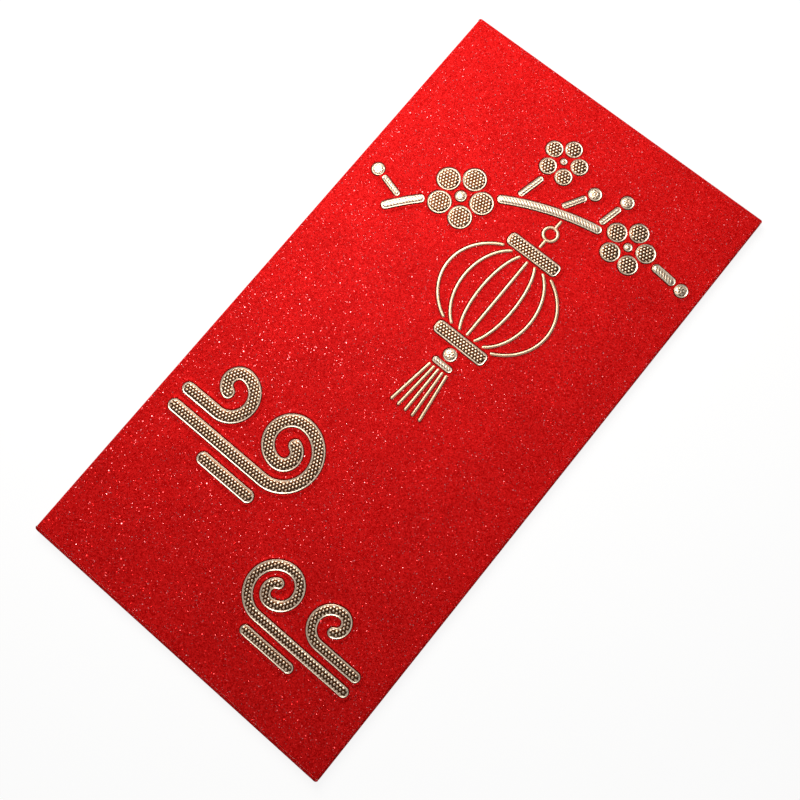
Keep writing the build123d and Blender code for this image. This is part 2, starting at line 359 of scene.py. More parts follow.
foil_floor = 0.17 * mm
foil_crown = 0.20 * mm
lip_height = 0.11 * mm
lip_inset = 0.11 * mm
lip_width = 0.11 * mm
lip_tone = 0.85
pillow_inset = 0.32 * mm
pillow_width = 1.1 * mm
pattern_inset = 0.26 * mm
pattern_fade = 0.2 * mm
dot_pitch = 0.88 * mm
dot_height = 0.11 * mm
foil_root = 0.05 * mm
foil_step = 0.13 * mm
foil_column = 0.11 * mm
foil_crease = 50
stroke_tip_rows = 9
outline_tip_points = 14

# Height, and how far from the foil its crest and its foot are.
wide_shoulder = 0.20 * mm, 0.32 * mm, 1.2 * mm
crest_rows, foot_rows = 5, 7
shoulder_toe = 0.1 * foil_root
# Painted shade: width of the darkened groove on the card beside the foil.
groove_shade_width = 0.34 * mm

# The hollow tone is painted shade in the pattern's hollows and at the foil's very edge.
foil_hollow_shade, foil_slope, foil_crest = (0.075, 0.020, 0.004), (0.73, 0.49, 0.31), (1.0, 0.90, 0.75)
foil_patch = 1.6 * mm, 3.0
foil_shade = 0.82, 1.0
foil_roughness = 0.42, 0.30
foil_grain = 0.16 * mm, 2.0
foil_bump = 0.3, 0.03 * mm

bottom_line, flap_line = front_low[1], front_high[1]
left_line, right_line = front_low[0], front_high[0]
cloud_inner_sweep = 160.0


def smooth(t):
    """Smooth step of t from 0 to 1."""
    t = np.clip(t, 0, 1)
    return t * t * (3 - 2 * t)


def direction(angle):
    """Unit vectors at angles in radians."""
    return np.stack([np.cos(angle), np.sin(angle)], axis=-1)


def walk(start, heading, moves):
    """Route from a start and a heading in degrees: (length, 0) runs straight on, and (radius,
    sweep) turns left along an arc, or right where the sweep is negative. Gives points at foil_step
    and their headings."""
    point, turned = np.array(start, float), math.radians(heading)
    points, headings = [], []
    for size, sweep in moves:
        bend = math.radians(sweep)
        length = size * abs(bend) if sweep else size
        share = np.linspace(0, 1, max(3, math.ceil(length / foil_step) + 1))
        facing = turned + bend * share
        if sweep:
            radius = math.copysign(size, bend)
            hub = point + radius * direction(turned + math.pi / 2)
            route = hub - radius * direction(facing + math.pi / 2)
        else:
            route = point + length * share[:, None] * direction(turned)
        points.append(route[1:] if points else route)
        headings.append(facing[1:] if headings else facing)
        point, turned = route[-1], turned + bend
    return np.concatenate(points), np.concatenate(headings)


def stroke_plan(route, half_width, columns, tip_rows):
    """Grid over a stroke with round ends, or with none where tip_rows is 0. A row crosses the route
    at right angles, and at a distance e past an end its half width is the root of half_width
    squared less e squared. Also gives each point's distance in from the edge, along the route and
    to the side."""
    points, headings = route
    spread = half_width * np.sin(np.linspace(0, np.pi / 2, tip_rows + 1))[1:]
    past = np.concatenate([-spread[::-1], np.zeros(len(points)), spread])
    points = np.pad(points, ((tip_rows, tip_rows), (0, 0)), mode="edge")
    headings = np.pad(headings, tip_rows, mode="edge")
    middle = points + past[:, None] * direction(headings)
    half = np.sqrt(np.clip(half_width**2 - past**2, 0, None))
    side = half[:, None] * np.linspace(-1, 1, columns)
    plan = middle[:, None, :] + side[:, :, None] * direction(headings + np.pi / 2)[:, None, :]
    inset = half_width - np.hypot(side, past[:, None])
    steps = np.hypot(*np.diff(middle, axis=0).T)
    along = np.concatenate([[0], np.cumsum(steps)])[:, None] + 0 * side
    return plan, inset, along, side


def wide_plan(route, half_width):
    """Grid over a wide stroke, as fine across as the die's pattern needs."""
    columns = 2 * math.ceil(half_width / foil_column) + 1
    return stroke_plan(route, half_width, columns, stroke_tip_rows)


def stroke_outline(route):
    """Outline of a stroke as middles and outward directions: up the left side, round the end, back
    down the right side and round the start."""
    points, headings = route
    half_turn = np.linspace(np.pi / 2, -np.pi / 2, outline_tip_points)[1:-1]
    round_end, round_start = headings[-1] + half_turn, headings[0] - np.pi + half_turn
    end, start = (np.repeat([point], len(half_turn), axis=0) for point in (points[-1], points[0]))
    facing = [headings + np.pi / 2, round_end, headings[::-1] - np.pi / 2, round_start]
    return np.concatenate([points, end, points[::-1], start]), direction(np.concatenate(facing))


def pillow(inset, half_width):
    """Height of stamped foil at a distance in from its edge: a bell-shaped lip, then a groove, then
    half a parabola up to a level top."""
    lip = lip_height * np.exp(-(((inset - lip_inset) / lip_width) ** 2))
    rise = min(half_width, pillow_width) - pillow_inset
    depth = np.clip((inset - pillow_inset) / rise, 0, 1)
    return foil_floor + lip + foil_crown * (1 - (1 - depth) ** 2)


def honeycomb(plan):
    """Dots on a triangular lattice with rows along X, from 0 between them to 1 on top: the square
    root of the mean of three cosine waves at 60 degrees to each other, where that is over zero."""
    x, y = plan[..., 0], plan[..., 1]
    wave = 4 * np.pi / (math.sqrt(3) * dot_pitch)
    turns = np.radians([30, 90, 150])
    total = sum(np.cos(wave * (x * math.cos(turn) + y * math.sin(turn))) for turn in turns)
    return np.sqrt(np.clip(total / 3, 0, 1))


def on_card(plan, height, raised):
    """Points of a plan at a height over the crowned card, with the value of the die's pattern and
    its painted shade as a fourth number."""
    base = front_top + sheet_rise(plan[..., 0], plan[..., 1])
    height, raised = base + height, raised + 0 * base
    return np.concatenate([plan, height[..., None], raised[..., None]], axis=-1)


def patterned(plan, inset, half_width, pattern, pattern_height):
    """Pillowed foil with a die pattern inside its lip; the value falls to the hollows' painted
    shade at the very edge.
    """
    within = smooth((inset - pattern_inset) / pattern_fade)
    height = pillow(inset, half_width) + pattern_height * pattern * within
    # Painted shade: the value falls to the hollow tone at the very edge of the foil.
    raised = (lip_tone + (pattern - lip_tone) * within) * smooth(inset / lip_inset)
    return on_card(plan, height, raised)


def with_root(rows, plan):
    """Rows of points closed to loops by two points below the card's face."""
    root = on_card(plan[:, [-1, 0]], -foil_root, 0)
    return np.concatenate([rows, root], axis=1)


def shoulder(outline, half_width, height, crest, reach):
    """Card that swells up round a foil edge: from the groove a smooth step up to the crest, then a
    longer one down to the flat card, carried round the outline. Its value paints shade on the card
    in the groove beside the foil."""
    middles, outward = outline
    climb, descent = np.linspace(0, crest, crest_rows), np.linspace(crest, reach, foot_rows)
    offset = np.concatenate([climb, descent[1:]])
    rise = np.minimum(smooth(offset / crest), 1 - smooth((offset - crest) / (reach - crest)))
    rise = height * rise
    rise[-1] = -shoulder_toe
    plan = middles[:, None, :] + (half_width + offset)[:, None] * outward[:, None, :]
    # Painted shade: the value is 1 in the groove by the foil and fades out over its width.
    return with_root(on_card(plan, rise, 1 - smooth(offset / groove_shade_width)), plan)


def dotted_stroke(route, half_width):
    """Stroke with the honeycomb of dots: its foil and its shoulder."""
    plan, inset, along, side = wide_plan(route, half_width)
    foil = patterned(plan, inset, half_width, honeycomb(plan), dot_height)
    rim = shoulder(stroke_outline(route), half_width, *wide_shoulder)
    return [(with_root(foil, plan), False)], [rim]


def foil_finish(name):
    """Champagne-gold foil. The raised pattern is pale and polished, and painted shade makes the
    hollows between and the very edge brown. Worn patches are darker and duller, and a fine bump
    breaks up the gloss."""
    material, tree, shader, place = start_finish(name)
    # The hollow stop is painted shade; the crest stop is the foil's own pale gold.
    stops = [(0.0, foil_hollow_shade), (0.5, foil_slope), (1.0, foil_crest)]
    tone = tone_ramp(tree, shade_and_pattern_value(tree), stops)
    patches = noise(tree, place, *foil_patch)
    shade = ramped(tree, patches, *noise_span, *foil_shade)
    grain = noise(tree, place, *foil_grain)
    fill(tree, shader, {
        "Base Color": vector(tree, "SCALE", {0: tone, "Scale": shade}),
        "Normal": bumped(tree, grain, *foil_bump),
        "Roughness": ramped(tree, patches, *noise_span, *foil_roughness),
        "Metallic": 1.0,
    })
    return material


gold_foil = foil_finish("gold_foil")


def solids_piece(name, solids, finish):
    """Piece of closed solids, each an array of loops and whether its last loop joins the first in a
    ring. Where it doesn't, the two end loops are capped with fans of triangles about a root
    point."""
    points, face_sets, count = [], [], 0
    for loops, ring in solids:
        rows, columns = loops.shape[:2]
        points.append(loops.reshape(-1, loops.shape[2]))
        face_sets.append((count + grid_faces(rows, columns, ring, wrap_columns=True), 0))
        if not ring:
            rim = np.arange(columns - 1)
            fan = np.stack([np.full(columns - 2, columns - 1), rim[:-1], rim[1:]], axis=1)
            face_sets.append((count + np.concatenate([fan, (rows - 1) * columns + fan]), 0))
        count += rows * columns
    piece = make_piece(name, np.concatenate(points), face_sets, [finish], foil_crease)
    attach(piece, "pocket")
    return piece


def foil_piece(name, node, shapes):
    """Foil piece that stands for a CAD node, from shapes of foil and shoulder solids, and a second
    piece for the card's shoulders round it."""
    foil_solids = [solid for foils, rims in shapes for solid in foils]
    rim_solids = [(loops, True) for foils, rims in shapes for loops in rims]
    foil = solids_piece(name, foil_solids, gold_foil)
    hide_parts(node)
    rim = solids_piece(name + "_shoulder", rim_solids, glitter)


def cloud(name, node, margin, rise, stroke, gap, curl, tail, facing):
    """Cloud of three strokes: a tail that rolls into a large curl, a shorter tail above it that
    rolls into a small curl, and a loose streak below. Each curl's arcs shrink by half the stroke
    pitch at a time, and the tail starts at a margin from the fold line behind it."""
    pitch = stroke + gap
    middle_curl = curl - pitch / 2
    inner_curl = middle_curl - pitch / 2
    small_run = tail - (curl + pitch + middle_curl)
    routes = [
        (-curl, tail, tail, [(curl, 180), (middle_curl, 180), (inner_curl, cloud_inner_sweep)]),
        (pitch - curl, tail, small_run, [(middle_curl, 180), (inner_curl, cloud_inner_sweep)]),
        (-curl - pitch, tail / 2, tail / 2, []),
    ]
    curl_x = (left_line if facing > 0 else right_line) + facing * (margin + stroke / 2 + tail)
    shapes = []
    for drop, back, run, turns in routes:
        start = (curl_x - facing * back, bottom_line + rise + drop)
        moves = [(run, 0)] + [(radius, facing * sweep) for radius, sweep in turns]
        shapes.append(dotted_stroke(walk(start, 0 if facing > 0 else 180, moves), stroke / 2))
    foil_piece(name, node, shapes)


cloud(
    "gilt_large_cloud", "foil_large_cloud", margin=4.0 * mm, rise=50.5 * mm,
    stroke=3.2 * mm, gap=2.0 * mm, curl=8.2 * mm, tail=28.0 * mm, facing=1,
)
cloud(
    "gilt_small_cloud", "foil_small_cloud", margin=6.0 * mm, rise=24.5 * mm,
    stroke=2.5 * mm, gap=1.6 * mm, curl=6.5 * mm, tail=26.0 * mm, facing=-1,
)

# Foil branch and twigs
# The branch follows one large circle and is broken where a blossom sits. Its foil is the same
# stamped pillow, but the die scores it with slanting ribs in place of dots.

branch_hub = np.array([27.0 * mm, flap_line - 97.0 * mm])
branch_radius = 72.0 * mm
branch_half_width = 1.1 * mm
branch_start, branch_end = 143.0, 83.0
twig_half_width = 0.75 * mm
foil_gap = 0.5 * mm
wide_blossom, wide_angle = 17.0 * mm, 128.0
middle_blossom, middle_angle = 14.0 * mm, 93.5
narrow_blossom, narrow_angle = 12.5 * mm, 118.0
narrow_heading, narrow_length = 77.0, 6.0 * mm
bud_radius = 1.7 * mm
bud_twig_length = 5.0 * mm
bud_twigs = [(139.5, 165.0), (110.0, 60.0), (101.0, 77.0)]
rib_pitch = 0.80 * mm
rib_height = 0.07 * mm
rib_slant = 0.8


def on_branch(angle):
    """Point of the branch's circle at an angle in degrees."""
    return branch_hub + branch_radius * direction(math.radians(angle))


def ribbed_stroke(route, half_width):
    """Stroke with ribs across it: the square root of a raised cosine of the distance along, shifted
    by the distance to the side, so that the hollows are narrow."""
    plan, inset, along, side = wide_plan(route, half_width)
    ribs = np.sqrt(0.5 + 0.5 * np.cos(2 * np.pi * (along + rib_slant * side) / rib_pitch))
    foil = patterned(plan, inset, half_width, ribs, rib_height)
    rim = shoulder(stroke_outline(route), half_width, *wide_shoulder)
    return [(with_root(foil, plan), False)], [rim]


def branch_route(first, last):
    """Route along the branch from one angle to a smaller one."""
    return walk(on_branch(first), first - 90, [(branch_radius, last - first)])


def twig_route(angle, heading, length):
    """Twig that leaves the branch at an angle, just clear of the branch's edge."""
    slant = math.radians(heading - (angle - 90))
    root_gap = (branch_half_width + foil_gap + twig_half_width) / math.sin(slant)
    root = on_branch(angle) + root_gap * direction(math.radians(heading))
    return walk(root, heading, [(length, 0)])


def beyond(route, half_width, radius):
    """Middle of a round that a route's end points at, just clear of it."""
    points, headings = route
    return points[-1] + (half_width + foil_gap + radius) * direction(headings[-1])


def blossom_sweep(across):
    """Angle along the branch from the middle of a blossom to the end of the stroke beside it."""
    return math.degrees((across / 2 + foil_gap + branch_half_width) / branch_radius)


narrow_twig = twig_route(narrow_angle, narrow_heading, narrow_length)
short_twigs = [twig_route(angle, heading, bud_twig_length) for angle, heading in bud_twigs]
wide_sweep, middle_sweep = blossom_sweep(wide_blossom), blossom_sweep(middle_blossom)
branch_routes = [
    branch_route(branch_start, wide_angle + wide_sweep),
    branch_route(wide_angle - wide_sweep, middle_angle + middle_sweep),
    branch_route(middle_angle - middle_sweep, branch_end),
]
foil_piece(
    "gilt_branch", "foil_branch",
    [ribbed_stroke(route, branch_half_width) for route in branch_routes]
    + [ribbed_stroke(route, twig_half_width) for route in [narrow_twig, *short_twigs]],
)

# Foil blossoms and buds
# Five round petals about a dot, and a bud at each twig's end. The petals carry the honeycomb, and
# the small rounds a leathery grain.

petal_count = 5
petal_gap = 0.4 * mm
first_petal = 90.0
flower_centre_gap = 1.0 * mm
grain_height = 0.05 * mm
grain_length = 0.62 * mm
grain_level = 0.6
grain_directions = np.radians([8, 47, 83, 121, 159])
grain_stretch = [1.0, 1.31, 0.83, 1.13, 0.91]
round_segments = 72


def leather(plan):
    """Leathery grain from 0 to 1: the mean of five sine waves in scattered directions, each with
    its own length so that it doesn't repeat over a round, added to a level."""
    x, y = plan[..., 0], plan[..., 1]
    waves = [
        np.sin(2 * np.pi * (x * math.cos(turn) + y * math.sin(turn)) / (grain_length * stretch))
        for turn, stretch in zip(grain_directions, grain_stretch)
    ]
    return np.clip(grain_level + sum(waves) / len(waves), 0, 1)


def stamped_round(centre, radius, pattern, pattern_height):
    """Round of foil: rings about its middle at the pillow's height, closed by its root below the
    card."""
    share = np.linspace(0, 1, math.ceil(radius / foil_column) + 1)
    around = np.linspace(0, 2 * np.pi, round_segments, endpoint=False)
    plan = np.array(centre) + radius * share[:, None, None] * direction(around)
    inset = radius * (1 - share)[:, None] + 0 * around
    foil = patterned(plan, inset, radius, pattern(plan), pattern_height)
    root = on_card(plan[[-1, 0]], -foil_root, 0)
    outline = (np.repeat([centre], round_segments, axis=0), direction(around))
    rim = shoulder(outline, radius, *wide_shoulder)
    return [(np.concatenate([foil, root]), False)], [rim]


def petal_ring(across):
    """Radius of the ring of petal middles, with neighbouring petals a gap apart."""
    return (across + petal_gap) / (2 * (1 + math.sin(math.pi / petal_count)))


def petal(middle, across, turn):
    """Dotted petal of a blossom, at an angle about its middle."""
    ring = petal_ring(across)
    return stamped_round(middle + ring * direction(turn), across / 2 - ring, honeycomb, dot_height)


def flower_centre(middle, across):
    """Grained dot in the room that a blossom's petals leave."""
    radius = 2 * petal_ring(across) - across / 2 - flower_centre_gap
    return stamped_round(middle, radius, leather, grain_height)


blossoms = [
    (on_branch(wide_angle), wide_blossom),
    (on_branch(middle_angle), middle_blossom),
    (beyond(narrow_twig, twig_half_width, narrow_blossom / 2), narrow_blossom),
]
petal_turns = np.radians(first_petal + 360 / petal_count * np.arange(petal_count))
foil_piece(
    "gilt_petals", "foil_petals",
    [petal(middle, across, turn) for middle, across in blossoms for turn in petal_turns],
)
foil_piece(
    "gilt_flower_centres", "foil_flower_centres",
    [flower_centre(middle, across) for middle, across in blossoms],
)
bud_middles = [beyond(twig, twig_half_width, bud_radius) for twig in short_twigs]
bud_middles.append(beyond(branch_routes[-1], branch_half_width, bud_radius))
foil_piece(
    "gilt_buds", "foil_buds",
    [stamped_round(middle, bud_radius, leather, grain_height) for middle in bud_middles],
)

# Foil lantern and tassel
# Two dotted caps hold thin bowed ribs. The lantern hangs from the branch on a line with a ring in
# it, and a bead, a binding and five strands hang below. The lines are stamped as half-round ridges.

line_half_width = 0.375 * mm
line_floor = 0.08 * mm
line_crown = 0.16 * mm
line_tone = 0.52
line_columns = 9
line_tip_rows = 5
line_shoulder = 0.07 * mm, 0.2 * mm, 0.7 * mm
hook_angle = 107.0
hanging_length, hanging_ring = 9.0 * mm, 1.8 * mm
cap_length, cap_height, cap_corner = 15.0 * mm, 3.4 * mm, 1.2 * mm
cap_corner_points, cap_edge_points = 10, 30
lantern_width, lantern_height, lantern_ribs = 31.0 * mm, 24.0 * mm, 3
bead_radius = 1.7 * mm
binding_length, binding_height = 5.6 * mm, 1.6 * mm
strand_count, strand_pitch, strand_fan, strand_length = 5, 1.25 * mm, 4.0, 13.0 * mm

hook_x, hook_y = on_branch(hook_angle)
hanging_top = hook_y - branch_half_width - foil_gap
hanging_foot = hanging_top - hanging_length
top_cap_y = hanging_foot - foil_gap - cap_height / 2
lantern_y = top_cap_y - cap_height / 2 - foil_gap - lantern_height / 2
bottom_cap_y = lantern_y - lantern_height / 2 - foil_gap - cap_height / 2
bead_y = bottom_cap_y - cap_height / 2 - foil_gap - bead_radius
binding_y = bead_y - bead_radius - foil_gap - binding_height / 2
strand_top = binding_y - binding_height / 2 - foil_gap


def fine_line(route, outlines=None):
    """Half-round ridge along a route with round ends, or round a ring where outlines gives its two
    sides."""
    tip_rows = 0 if outlines else line_tip_rows
    plan, inset, along, side = stroke_plan(route, line_half_width, line_columns, tip_rows)
    ridge = np.sqrt(np.clip(1 - (1 - inset / line_half_width) ** 2, 0, 1))
    foil = on_card(plan, line_floor + line_crown * ridge, line_tone)
    outlined = outlines or [stroke_outline(route)]
    rims = [shoulder(outline, line_half_width, *line_shoulder) for outline in outlined]
    return [(with_root(foil, plan), bool(outlines))], rims


def fine_ring(middle, radius):
    """Fine line that closes to a circle: its last loop joins its first."""
    turn = np.linspace(0, 2 * np.pi, round_segments, endpoint=False)
    points, outward = np.array(middle) + radius * direction(turn), direction(turn)
    return fine_line((points, turn + np.pi / 2), [(points, outward), (points, -outward)])


def straight_line(start, heading, length):
    """Fine line whose round ends stay inside its length."""
    begin = np.array(start) + line_half_width * direction(math.radians(heading))
    return fine_line(walk(begin, heading, [(length - 2 * line_half_width, 0)]))


def lantern_cap(name, node, middle_y):
    """Dotted bar with rounded corners. A column's half height follows the corner arc, and the
    distance in from the edge is that of a rounded rectangle."""
    flat_x, flat_y = cap_length / 2 - cap_corner, cap_height / 2 - cap_corner
    corner_angle = np.linspace(0, np.pi / 2, cap_corner_points)
    left_end = -flat_x - cap_corner * np.cos(corner_angle)[:-1]
    right_end = flat_x + cap_corner * np.sin(corner_angle)[1:]
    run = np.linspace(-flat_x, flat_x, math.ceil(2 * flat_x / foil_step))
    x = np.concatenate([left_end, run, right_end])
    past = np.clip(np.abs(x) - flat_x, 0, cap_corner)
    half_height = flat_y + np.sqrt(cap_corner**2 - past**2)
    y = half_height[:, None] * np.linspace(-1, 1, 2 * math.ceil(cap_height / 2 / foil_column) + 1)
    plan = np.stack([hook_x + x[:, None] + 0 * y, middle_y + y], axis=2)
    over_x, over_y = np.abs(x)[:, None] + 0 * y - flat_x, np.abs(y) - flat_y
    outside = np.hypot(np.clip(over_x, 0, None), np.clip(over_y, 0, None))
    inset = cap_corner - outside - np.minimum(np.maximum(over_x, over_y), 0)
    foil = patterned(plan, inset, cap_height / 2, honeycomb(plan), dot_height)
    middles, facing = [], []
    corners = np.array([(flat_x, flat_y), (-flat_x, flat_y), (-flat_x, -flat_y), (flat_x, -flat_y)])
    for quarter, corner in enumerate(corners):
        edge = np.linspace(corner, corners[(quarter + 1) % 4], cap_edge_points)[1:-1]
        middles += [np.repeat([corner], cap_corner_points, axis=0), edge]
        facing.append(corner_angle + quarter * np.pi / 2)
        facing.append(np.full(len(edge), (quarter + 1) * np.pi / 2))
    outline = (np.concatenate(middles) + (hook_x, middle_y), direction(np.concatenate(facing)))
    rim = shoulder(outline, cap_corner, *wide_shoulder)
    foil_piece(name, node, [([(with_root(foil, plan), False)], [rim])])


def lantern_rib(half_width, half_height):
    """Line along the part of an ellipse between the two caps, at even steps of its angle."""
    limit = math.asin((lantern_height / 2 - line_half_width) / half_height)
    angle = np.linspace(-limit, limit, math.ceil(lantern_height / foil_step))
    points = (hook_x, lantern_y) + direction(angle) * (half_width, half_height)
    return fine_line((points, np.arctan2(half_height * np.cos(angle), -half_width * np.sin(angle))))


ring_y = (hanging_top + hanging_foot) / 2
hanging_run = hanging_length / 2 - hanging_ring
foil_piece(
    "gilt_hanging_cord", "foil_hanging_cord",
    [
        straight_line((hook_x, hanging_foot), 90, hanging_run),
        fine_ring((hook_x, ring_y), hanging_ring),
        straight_line((hook_x, ring_y + hanging_ring), 90, hanging_run),
    ],
)
lantern_cap("gilt_lantern_top_cap", "foil_lantern_top_cap", top_cap_y)
lantern_cap("gilt_lantern_bottom_cap", "foil_lantern_bottom_cap", bottom_cap_y)
rib_half_height = lantern_height / 2 + cap_height / 2 - line_half_width
rib_reaches = lantern_width / 2 * np.arange(1, lantern_ribs + 1) / lantern_ribs - line_half_width
foil_piece(
    "gilt_lantern_ribs", "foil_lantern_ribs",
    [straight_line((hook_x, lantern_y - lantern_height / 2), 90, lantern_height)]
    + [lantern_rib(side * reach, rib_half_height) for reach in rib_reaches for side in (-1, 1)],
)
foil_piece(
    "gilt_tassel_bead", "foil_tassel_bead",
    [stamped_round((hook_x, bead_y), bead_radius, leather, grain_height)],
)
binding_run = binding_length - binding_height
binding_route = walk((hook_x - binding_run / 2, binding_y), 0, [(binding_run, 0)])
foil_piece(
    "gilt_tassel_binding", "foil_tassel_binding",
    [ribbed_stroke(binding_route, binding_height / 2)],
)
strands = np.arange(strand_count) - (strand_count - 1) / 2
strand_starts = [(hook_x + strand * strand_pitch, strand_top) for strand in strands]
foil_piece(
    "gilt_tassel_fringe", "foil_tassel_fringe",
    [
        straight_line(start, strand * strand_fan - 90, strand_length)
        for start, strand in zip(strand_starts, strands)
    ],
)

# Side folds and bottom fold
# The sheet turns to the back over scored creases. Each bend is half round, as wide as the layers
# between its two sides, and the coat has worn a little along the very edge.

fold_segments = 24
fold_step = 4.0 * mm
fold_corner = 1.1 * mm
fold_join = 0.05 * mm
card_thickness = front_high[2] - front_low[2]
wear_reach = 0.35 * mm
wear_patch = 0.9 * mm, 4.0
wear_span = 0.60, 0.70
worn_tone = (0.78, 0.42, 0.40, 1)


def creased_finish(name, axis, crease_line):
    """Glitter coat over a crease, which lies at a distance from the middle along an axis. Close to
    that line spots of the coat have rubbed off."""
    material = glitter_finish(name)
    tree = material.node_tree
    shader = tree.nodes["Principled BSDF"]
    place = add_node(tree, "ShaderNodeTexCoord").outputs["Object"]
    offset = add_node(tree, "ShaderNodeSeparateXYZ", {"Vector": place}).outputs[axis]
    reach = number(tree, "ABSOLUTE", offset)
    near = ramped(tree, reach, crease_line - wear_reach, crease_line, 0.0, 1.0)
    rubbed = ramped(tree, noise(tree, place, *wear_patch), *wear_span, 0.0, 1.0)
    coat = shader.inputs["Base Color"].links[0].from_socket
    worn = mixed(tree, number(tree, "MULTIPLY", near, rubbed), coat, worn_tone)
    fill(tree, shader, {"Base Color": worn})
    return material


def fold_solid(name, middle, outward, along, length, corner, outer, finish):
    """Half-round bend of card: the outer arc of 180 degrees, back by the inner arc, carried along
    the fold line. The two arcs' ends meet the flat layers. Seen from above, its corners are quarter
    ellipses that draw in its ends by a given length, or none."""
    angle = np.linspace(np.pi / 2, -np.pi / 2, fold_segments + 1)
    arcs = [(outer, angle), (outer - card_thickness, angle[::-1])]
    out = np.concatenate([radius * np.cos(turn) for radius, turn in arcs])
    up = np.concatenate([radius * np.sin(turn) for radius, turn in arcs])
    half = length / 2 - corner * (1 - np.sqrt(np.clip(1 - (out / outer) ** 2, 0, 1)))
    reach = np.linspace(-1, 1, max(2, round(length / fold_step)))[:, None] * half
    loop = out[:, None] * np.array(outward) + up[:, None] * np.array([0, 0, 1])
    points = np.array(middle) + loop[None, :, :] + reach[:, :, None] * np.array(along)
    rows, columns = points.shape[:2]
    quads = grid_faces(rows, columns, wrap_columns=True).reshape(rows - 1, columns, 4)
    ends = np.stack([np.arange(columns), (rows - 1) * columns + np.arange(columns)])
    face_sets = [
        (quads[:, :fold_segments].reshape(-1, 4), 0),
        (quads[:, fold_segments:].reshape(-1, 4), 1),
        (ends, 1),
    ]
    piece = make_piece(name, points.reshape(-1, 3), face_sets, [finish, board], card_crease)
    return piece


side_low, side_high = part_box("right_side_fold")
side_outer = (side_high[2] - side_low[2]) / 2
side_length = front_length - 2 * fold_join
side_crease = creased_finish("side_crease_coat", "X", side_high[0])
side_names = {-1: ("left_fold_card", "left_side_fold"), 1: ("right_fold_card", "right_side_fold")}
for side, (name, node) in side_names.items():
    middle = (side * side_low[0], front_middle, side_high[2] - side_outer)
    fold = fold_solid(
        name, middle, (side, 0, 0), (0, 1, 0), side_length, 0.0, side_outer, side_crease
    )
    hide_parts(node)
    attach(fold, "pocket")

foot_low, foot_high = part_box("bottom_fold")
foot_outer = (foot_high[2] - foot_low[2]) / 2
foot_middle = (0, foot_high[1], foot_high[2] - foot_outer)
end_length = 2 * side_high[0] - 2 * fold_join
end_crease = creased_finish("end_crease_coat", "Y", -foot_low[1])
bottom_fold = fold_solid(
    "bottom_fold_card", foot_middle, (0, -1, 0), (1, 0, 0),
    end_length, fold_corner, foot_outer, end_crease,
)
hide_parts("bottom_fold")
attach(bottom_fold, "pocket")

# Back panel
# It comes up from the bottom fold and lies outside the side tabs, coated side down. A shallow arc
# is cut from its upper edge, so that a thumb can reach what is in the pocket.

throat_width = 46.0 * mm
throat_depth = 6.0 * mm
throat_columns, cheek_columns, back_rows = 41, 12, 60

back_low, back_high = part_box("back_panel")
throat_radius = (throat_width**2 / 4 + throat_depth**2) / (2 * throat_depth)
half_throat = np.linspace(0, throat_width / 2, throat_columns)
cheek = np.linspace(throat_width / 2, back_high[0], cheek_columns)
half_back = np.concatenate([half_throat, cheek[1:]])
back_x = np.concatenate([-half_back[:0:-1], half_back])
cut = np.sqrt(np.clip(throat_radius**2 - back_x**2, 0, None)) - (throat_radius - throat_depth)
mouth = back_high[1] - np.clip(cut, 0, None)
back_y = back_low[1] + np.linspace(0, 1, back_rows)[:, None] * (mouth - back_low[1])
back_plan = np.stack([back_x + 0 * back_y, back_y], axis=2)
back_card = card_plate("back_card", back_plan, back_low[2], back_high[2])
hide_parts("back_panel")
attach(back_card, "pocket")

# Side tabs and glue
# Narrow tabs of the card with slanted ends turn in behind the front. A line of dry glue on each
# holds the back panel.

tab_taper = 9.0 * mm
tab_columns, tab_rows = 14, 50
glue_thin, glue_thick = (0.62, 0.55, 0.40), (0.86, 0.82, 0.70)
glue_patch = 2.2 * mm, 4.0
glue_bubble = 0.8 * mm
glue_bump = 0.3, 0.04 * mm
glue_roughness = 0.3

tab_names = {-1: ("left_tab_card", "left_glue_tab"), 1: ("right_tab_card", "right_glue_tab")}
for side, (name, node) in tab_names.items():
    tab_low, tab_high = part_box(node)
    inward = np.linspace(0, 1, tab_columns)[None, :]
    upward = np.linspace(0, 1, tab_rows)[:, None]
    tab_root = max(abs(tab_low[0]), abs(tab_high[0]))
    tab_x = side * (tab_root - inward * (tab_high[0] - tab_low[0]))
    tab_length = tab_high[1] - tab_low[1] - 2 * tab_taper * inward
    tab_y = tab_low[1] + tab_taper * inward + upward * tab_length
    tab_plan = np.stack([tab_x + 0 * tab_y, tab_y], axis=2)
    tab = card_plate(name, tab_plan, tab_low[2], tab_high[2])
    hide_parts(node)
    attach(tab, "pocket")


def glue_finish(name):
    """Dry glue: a cloudy film with bubbles that catch the light."""
    material, tree, shader, place = start_finish(name)
    film = noise(tree, place, *glue_patch)
    bubble = cells(tree, place, glue_bubble)["Distance"]
    fill(tree, shader, {
        "Base Color": tone_ramp(tree, film, [(0.0, glue_thin), (1.0, glue_thick)]),
        "Normal": bumped(tree, bubble, *glue_bump),
        "Roughness": glue_roughness,
    })
    return material


dry_glue = glue_finish("dry_glue")
for node in ("left_glue_line", "right_glue_line"):
    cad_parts[node].data.materials.clear()
    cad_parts[node].data.materials.append(dry_glue)

# Closure flap and its fold
# A short tapered flap with round corners closes the pocket at the back. It turns on a bend of the
# card that opens from half round to flat, so the bend's ends follow the pocket and the flap.

flap_taper = 6.0 * mm
flap_corner = 8.0 * mm
flap_straight_rows, flap_corner_rows, flap_columns = 20, 24, 61
crease_gap = 0.04 * mm

